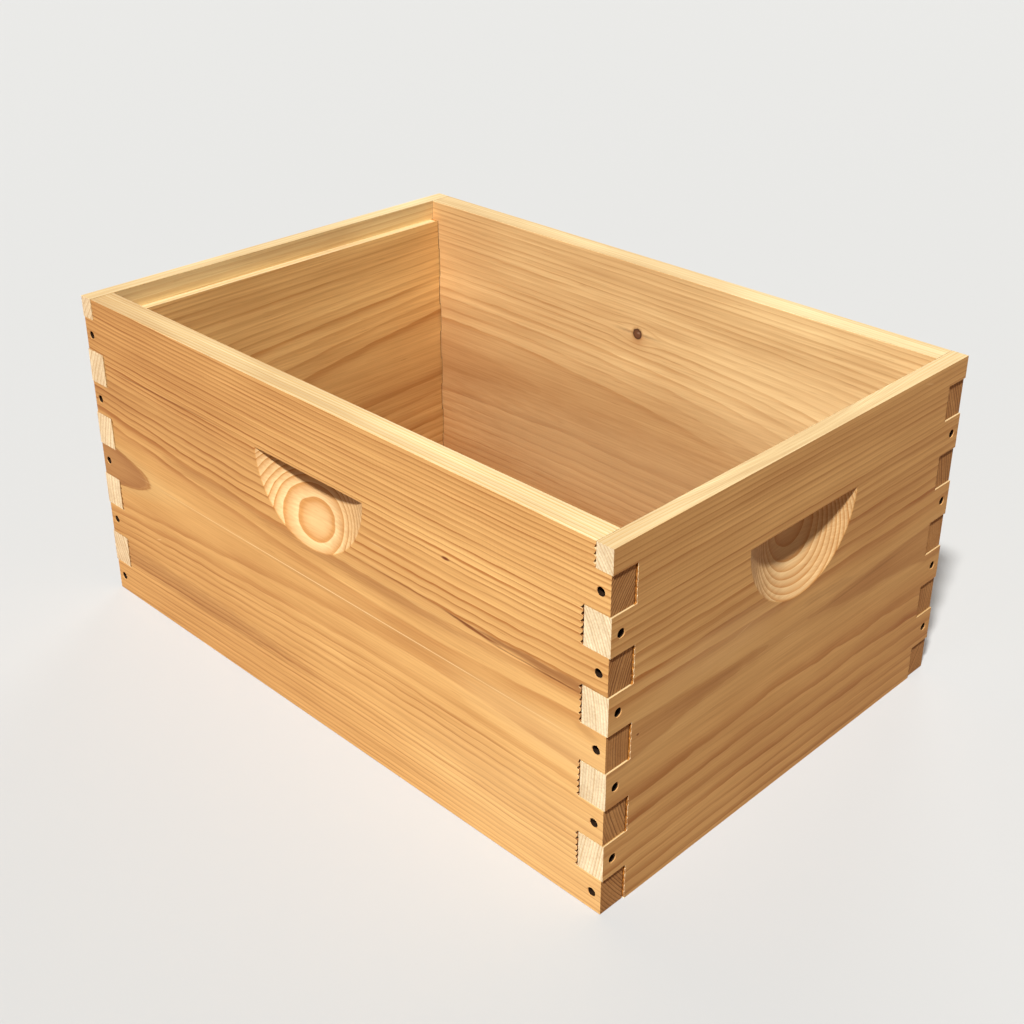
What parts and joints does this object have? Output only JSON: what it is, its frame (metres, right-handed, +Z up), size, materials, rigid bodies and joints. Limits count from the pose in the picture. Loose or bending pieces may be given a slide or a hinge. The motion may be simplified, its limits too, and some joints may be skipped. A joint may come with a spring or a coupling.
{
  "type": "beehive super",
  "caption": "Open pine hive box with finger-jointed corners, sunk nails, frame rests in both ends and scooped handholds, made to hold hanging comb frames.",
  "frame": {"origin": "under the middle of the box, on the surface that its bottom rim stands on", "axes": "+X along the long sides, towards the right end; +Y from the front side to the back side; +Z up"},
  "size_m": [0.508, 0.3492, 0.2445],
  "materials": {
    "pine_board": "planed and left bare",
    "nail_steel": "dull bright wire"
  },
  "bodies": {
    "root": {"front_side": "pine_board", "back_side": "pine_board", "left_end": "pine_board", "right_end": "pine_board", "front_left_side_nails": "nail_steel", "front_right_side_nails": "nail_steel", "back_left_side_nails": "nail_steel", "back_right_side_nails": "nail_steel", "front_left_end_nails": "nail_steel", "front_right_end_nails": "nail_steel", "back_left_end_nails": "nail_steel", "back_right_end_nails": "nail_steel"}
  },
  "joints": []
}
